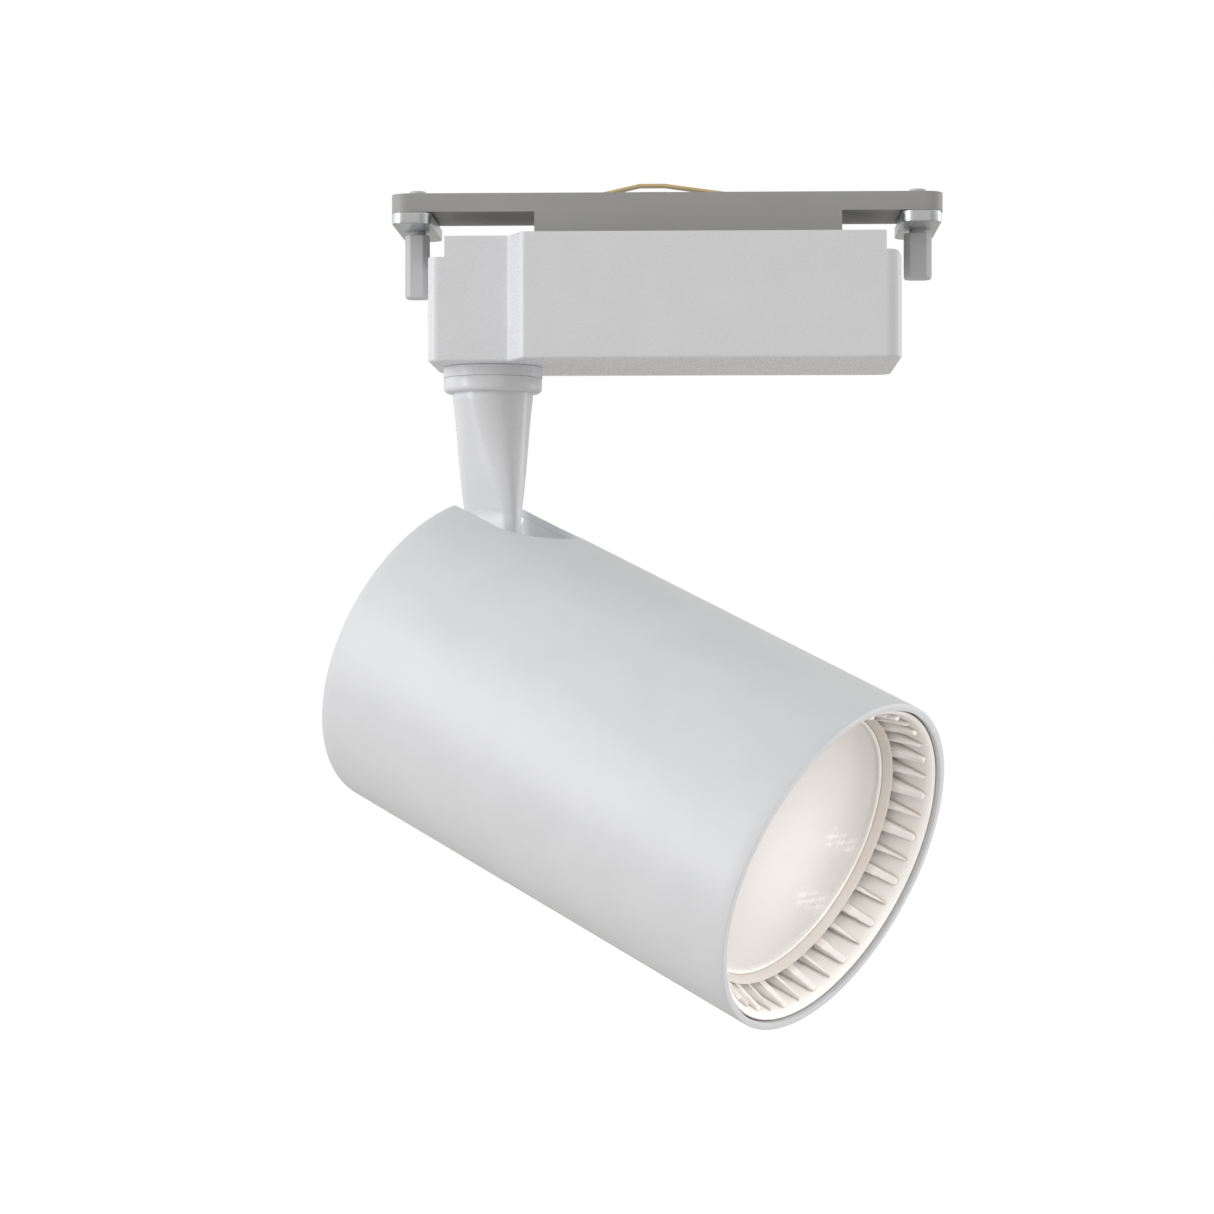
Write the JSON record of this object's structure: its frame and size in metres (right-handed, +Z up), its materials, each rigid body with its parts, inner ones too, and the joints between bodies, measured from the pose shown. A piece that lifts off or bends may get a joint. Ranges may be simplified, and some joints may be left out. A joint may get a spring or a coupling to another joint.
{
  "type": "track spotlight",
  "caption": "Track spotlight: driver box with turn latches under a supply rail, swivelling blade stem, and a tilting tubular head with a ribbed mouth and a satin lens.",
  "frame": {"origin": "where the swivel axis meets the seat plane, the adapter's top face that lies against the rail's underside", "axes": "+X along the rail towards the driver end, +Z up into the rail, -Y the side that the lamp head leans towards at rest"},
  "size_m": [0.1096, 0.0977, 0.1467],
  "materials": {
    "housing_white": "satin",
    "cover_grey": "satin",
    "latch_grey": "satin",
    "bush_white": "satin",
    "lamp_white": "satin",
    "baffle_white": "satin",
    "ring_white": "satin",
    "lens_satin": "satin",
    "reflector_silver": "satin",
    "bare_aluminium": "satin",
    "zinc_steel": "satin",
    "contact_brass": "satin",
    "copper_wire": "satin",
    "ferrite": "matte",
    "board_green": "satin",
    "capacitor_sleeve": "satin",
    "chip_black": "matte",
    "terminal_nylon": "matte",
    "insulating_film": "satin",
    "lead_insulation": "satin",
    "friction_polymer": "matte",
    "grommet_rubber": "matte",
    "thermal_grey": "matte",
    "led_board_white": "satin",
    "led_ceramic": "satin",
    "phosphor": "matte",
    "holder_white": "matte"
  },
  "bodies": {
    "adapter": {"adapter_housing": "housing_white", "cover_plate": "cover_grey", "contact_tongue": "cover_grey", "cover_screws": "zinc_steel", "live_contact": "contact_brass", "neutral_contact": "contact_brass", "earth_contact": "contact_brass", "driver_board": "board_green", "transformer_core": "ferrite", "transformer_winding": "copper_wire", "bulk_capacitor": "capacitor_sleeve", "output_capacitor": "capacitor_sleeve", "choke": "ferrite", "driver_chips": "chip_black", "terminal_block": "terminal_nylon", "driver_leads": "lead_insulation", "insulation_sheet": "insulating_film", "swivel_bush": "bush_white"},
    "latch_left": {"latch_left_knob": "latch_grey", "latch_left_cam": "zinc_steel", "latch_left_clip": "zinc_steel"},
    "latch_right": {"latch_right_knob": "latch_grey", "latch_right_cam": "zinc_steel", "latch_right_clip": "zinc_steel"},
    "stem": {"stem": "lamp_white", "swivel_collar": "lamp_white", "swivel_tube": "zinc_steel", "swivel_washer": "zinc_steel", "swivel_nut": "zinc_steel", "stem_leads": "lead_insulation"},
    "head": {"lamp_tube": "lamp_white", "tube_screw": "zinc_steel", "rear_cap": "lamp_white", "rear_cap_screws": "zinc_steel", "tilt_bracket": "zinc_steel", "bracket_screws": "zinc_steel", "friction_washers": "friction_polymer", "pivot_bolt": "zinc_steel", "pivot_nut": "zinc_steel", "cable_grommet": "grommet_rubber", "heat_sink": "bare_aluminium", "thermal_pad": "thermal_grey", "led_board": "led_board_white", "led_substrate": "led_ceramic", "led_phosphor": "phosphor", "led_holder": "holder_white", "holder_screws": "zinc_steel", "reflector": "reflector_silver", "lens": "lens_satin", "lens_ring": "ring_white", "front_baffle": "baffle_white", "pillars": "zinc_steel", "led_leads": "lead_insulation"}
  },
  "joints": [
    {"name": "swivel", "type": "hinge", "parent": "adapter", "child": "stem", "pos_m": [0, 0, 0], "axis": [0, 0, 1], "range_deg": [-165, 165]},
    {"name": "tilt", "type": "hinge", "parent": "stem", "child": "head", "pos_m": [0, 0, -0.0785], "axis": [0.5476, 0.8368, 0], "range_deg": [-23.2, 66.8]},
    {"name": "latch_left_turn", "type": "hinge", "parent": "adapter", "child": "latch_left", "pos_m": [-0.01365, 0, 0], "axis": [0, 0, 1], "range_deg": [0, 90]},
    {"name": "latch_right_turn", "type": "hinge", "parent": "adapter", "child": "latch_right", "pos_m": [0.0764, 0, 0], "axis": [0, 0, 1], "range_deg": [0, 90]}
  ]
}
